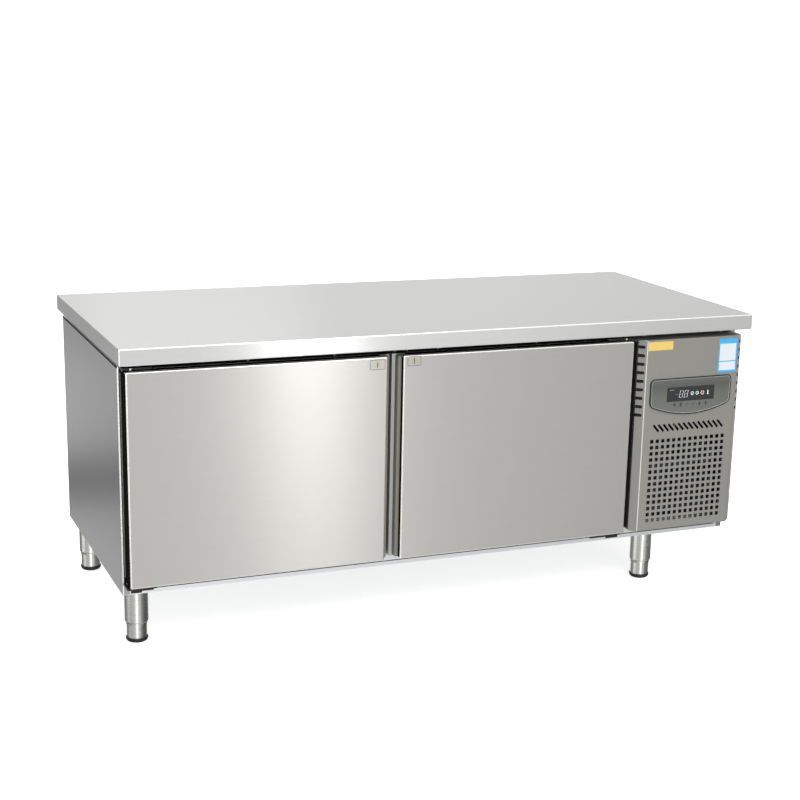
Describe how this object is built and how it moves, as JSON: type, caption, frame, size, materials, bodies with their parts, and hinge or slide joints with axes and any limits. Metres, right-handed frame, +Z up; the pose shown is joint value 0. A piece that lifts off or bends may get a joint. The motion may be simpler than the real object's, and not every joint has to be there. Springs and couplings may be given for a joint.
{
  "type": "under counter fridge",
  "caption": "Low stainless worktable fridge: two hinged doors, flat worktop, machine bay with grille and control panel at the right, on round adjustable legs.",
  "frame": {"origin": "on the floor, under the middle of the worktop", "axes": "+X to the right along the worktop, +Y from the doors to the back, +Z up"},
  "size_m": [1.8, 0.8, 0.8],
  "materials": {
    "worktop_steel": "satin",
    "door_steel": "satin",
    "panel_steel": "satin",
    "leg_steel": "satin",
    "bright_steel": "polished",
    "liner_steel": "satin",
    "galvanised_sheet": "satin",
    "board": "matte",
    "foam": "matte",
    "black_plastic": "matte",
    "coated_wire": "satin",
    "fin_aluminium": "satin",
    "black_paint": "satin",
    "black_rubber": "matte",
    "copper": "satin",
    "face_plate": "satin",
    "smoked_window": "gloss",
    "gasket_rubber": "matte"
  },
  "bodies": {
    "cabinet": {"worktop_skin": "worktop_steel", "worktop_core": "board", "side_panel_left": "panel_steel", "side_panel_right": "panel_steel", "back_panel": "galvanised_sheet", "bottom_panel": "galvanised_sheet", "front_frame": "panel_steel", "cabinet_insulation": "foam", "inner_liners": "liner_steel", "breaker_frames": "black_plastic", "wire_shelves": "coated_wire", "shelf_supports": "liner_steel", "evaporator_coils": "fin_aluminium", "duct_covers": "liner_steel", "evaporator_motors": "black_plastic", "machine_base": "galvanised_sheet", "compressor": "black_paint", "compressor_fittings": "black_rubber", "condenser_coil": "fin_aluminium", "fan_shroud": "galvanised_sheet", "condenser_motor": "black_paint", "refrigerant_lines": "copper", "rear_grille": "galvanised_sheet", "cable_gland": "black_plastic", "machine_cover": "panel_steel", "panel_bezel": "black_plastic", "panel_overlay": "face_plate", "display_window": "smoked_window", "controller_housing": "black_plastic", "hinge_brackets": "black_paint", "hinge_pins": "bright_steel", "leg_plates": "galvanised_sheet", "leg_sleeves": "leg_steel"},
    "door_left": {"door_left_skin": "door_steel", "door_left_rim": "black_plastic", "door_left_foam": "foam", "door_left_pan": "liner_steel", "door_left_gasket": "gasket_rubber"},
    "door_right": {"door_right_skin": "door_steel", "door_right_rim": "black_plastic", "door_right_foam": "foam", "door_right_pan": "liner_steel", "door_right_gasket": "gasket_rubber"},
    "condenser_rotor": {"condenser_fan": "fin_aluminium"},
    "evaporator_rotor_left": {"evaporator_fan_left": "black_plastic"},
    "evaporator_rotor_right": {"evaporator_fan_right": "black_plastic"},
    "button_power": {"key_power": "face_plate"},
    "button_set": {"key_set": "face_plate"},
    "button_up": {"key_up": "face_plate"},
    "button_down": {"key_down": "face_plate"},
    "button_light": {"key_light": "face_plate"},
    "button_defrost": {"key_defrost": "face_plate"},
    "adjuster_front_left": {"foot_tube_front_left": "leg_steel", "foot_pad_front_left": "black_plastic"},
    "adjuster_front_right": {"foot_tube_front_right": "leg_steel", "foot_pad_front_right": "black_plastic"},
    "adjuster_back_left": {"foot_tube_back_left": "leg_steel", "foot_pad_back_left": "black_plastic"},
    "adjuster_back_right": {"foot_tube_back_right": "leg_steel", "foot_pad_back_right": "black_plastic"}
  },
  "joints": [
    {"name": "door_left_hinge", "type": "hinge", "parent": "cabinet", "child": "door_left", "pos_m": [-0.868, -0.368, 0.464], "axis": [0, 0, -1], "range_deg": [0, 100], "stiffness_Nm_per_rad": 1.5, "springref_deg": -114.59},
    {"name": "door_right_hinge", "type": "hinge", "parent": "cabinet", "child": "door_right", "pos_m": [0.504, -0.368, 0.464], "axis": [0, 0, 1], "range_deg": [0, 100], "stiffness_Nm_per_rad": 1.5, "springref_deg": -114.59},
    {"name": "condenser_fan_spin", "type": "hinge", "parent": "cabinet", "child": "condenser_rotor", "pos_m": [0.7155, -0.233, 0.2855], "axis": [0, 1, 0], "continuous": true},
    {"name": "evaporator_fan_left_spin", "type": "hinge", "parent": "cabinet", "child": "evaporator_rotor_left", "pos_m": [-0.526, 0.228, 0.616], "axis": [0, 1, 0], "continuous": true},
    {"name": "evaporator_fan_right_spin", "type": "hinge", "parent": "cabinet", "child": "evaporator_rotor_right", "pos_m": [0.1655, 0.228, 0.616], "axis": [0, 1, 0], "continuous": true},
    {"name": "key_power_press", "type": "slide", "parent": "cabinet", "child": "button_power", "axis": [0, 1, 0], "range_m": [0, 0.0004], "stiffness_N_per_m": 400, "springref_m": -0.002},
    {"name": "key_set_press", "type": "slide", "parent": "cabinet", "child": "button_set", "axis": [0, 1, 0], "range_m": [0, 0.0004], "stiffness_N_per_m": 400, "springref_m": -0.002},
    {"name": "key_up_press", "type": "slide", "parent": "cabinet", "child": "button_up", "axis": [0, 1, 0], "range_m": [0, 0.0004], "stiffness_N_per_m": 400, "springref_m": -0.002},
    {"name": "key_down_press", "type": "slide", "parent": "cabinet", "child": "button_down", "axis": [0, 1, 0], "range_m": [0, 0.0004], "stiffness_N_per_m": 400, "springref_m": -0.002},
    {"name": "key_light_press", "type": "slide", "parent": "cabinet", "child": "button_light", "axis": [0, 1, 0], "range_m": [0, 0.0004], "stiffness_N_per_m": 400, "springref_m": -0.002},
    {"name": "key_defrost_press", "type": "slide", "parent": "cabinet", "child": "button_defrost", "axis": [0, 1, 0], "range_m": [0, 0.0004], "stiffness_N_per_m": 400, "springref_m": -0.002},
    {"name": "foot_front_left_extend", "type": "slide", "parent": "cabinet", "child": "adjuster_front_left", "axis": [0, 0, -1], "range_m": [0, 0.03]},
    {"name": "foot_front_right_extend", "type": "slide", "parent": "cabinet", "child": "adjuster_front_right", "axis": [0, 0, -1], "range_m": [0, 0.03]},
    {"name": "foot_back_left_extend", "type": "slide", "parent": "cabinet", "child": "adjuster_back_left", "axis": [0, 0, -1], "range_m": [0, 0.03]},
    {"name": "foot_back_right_extend", "type": "slide", "parent": "cabinet", "child": "adjuster_back_right", "axis": [0, 0, -1], "range_m": [0, 0.03]}
  ]
}
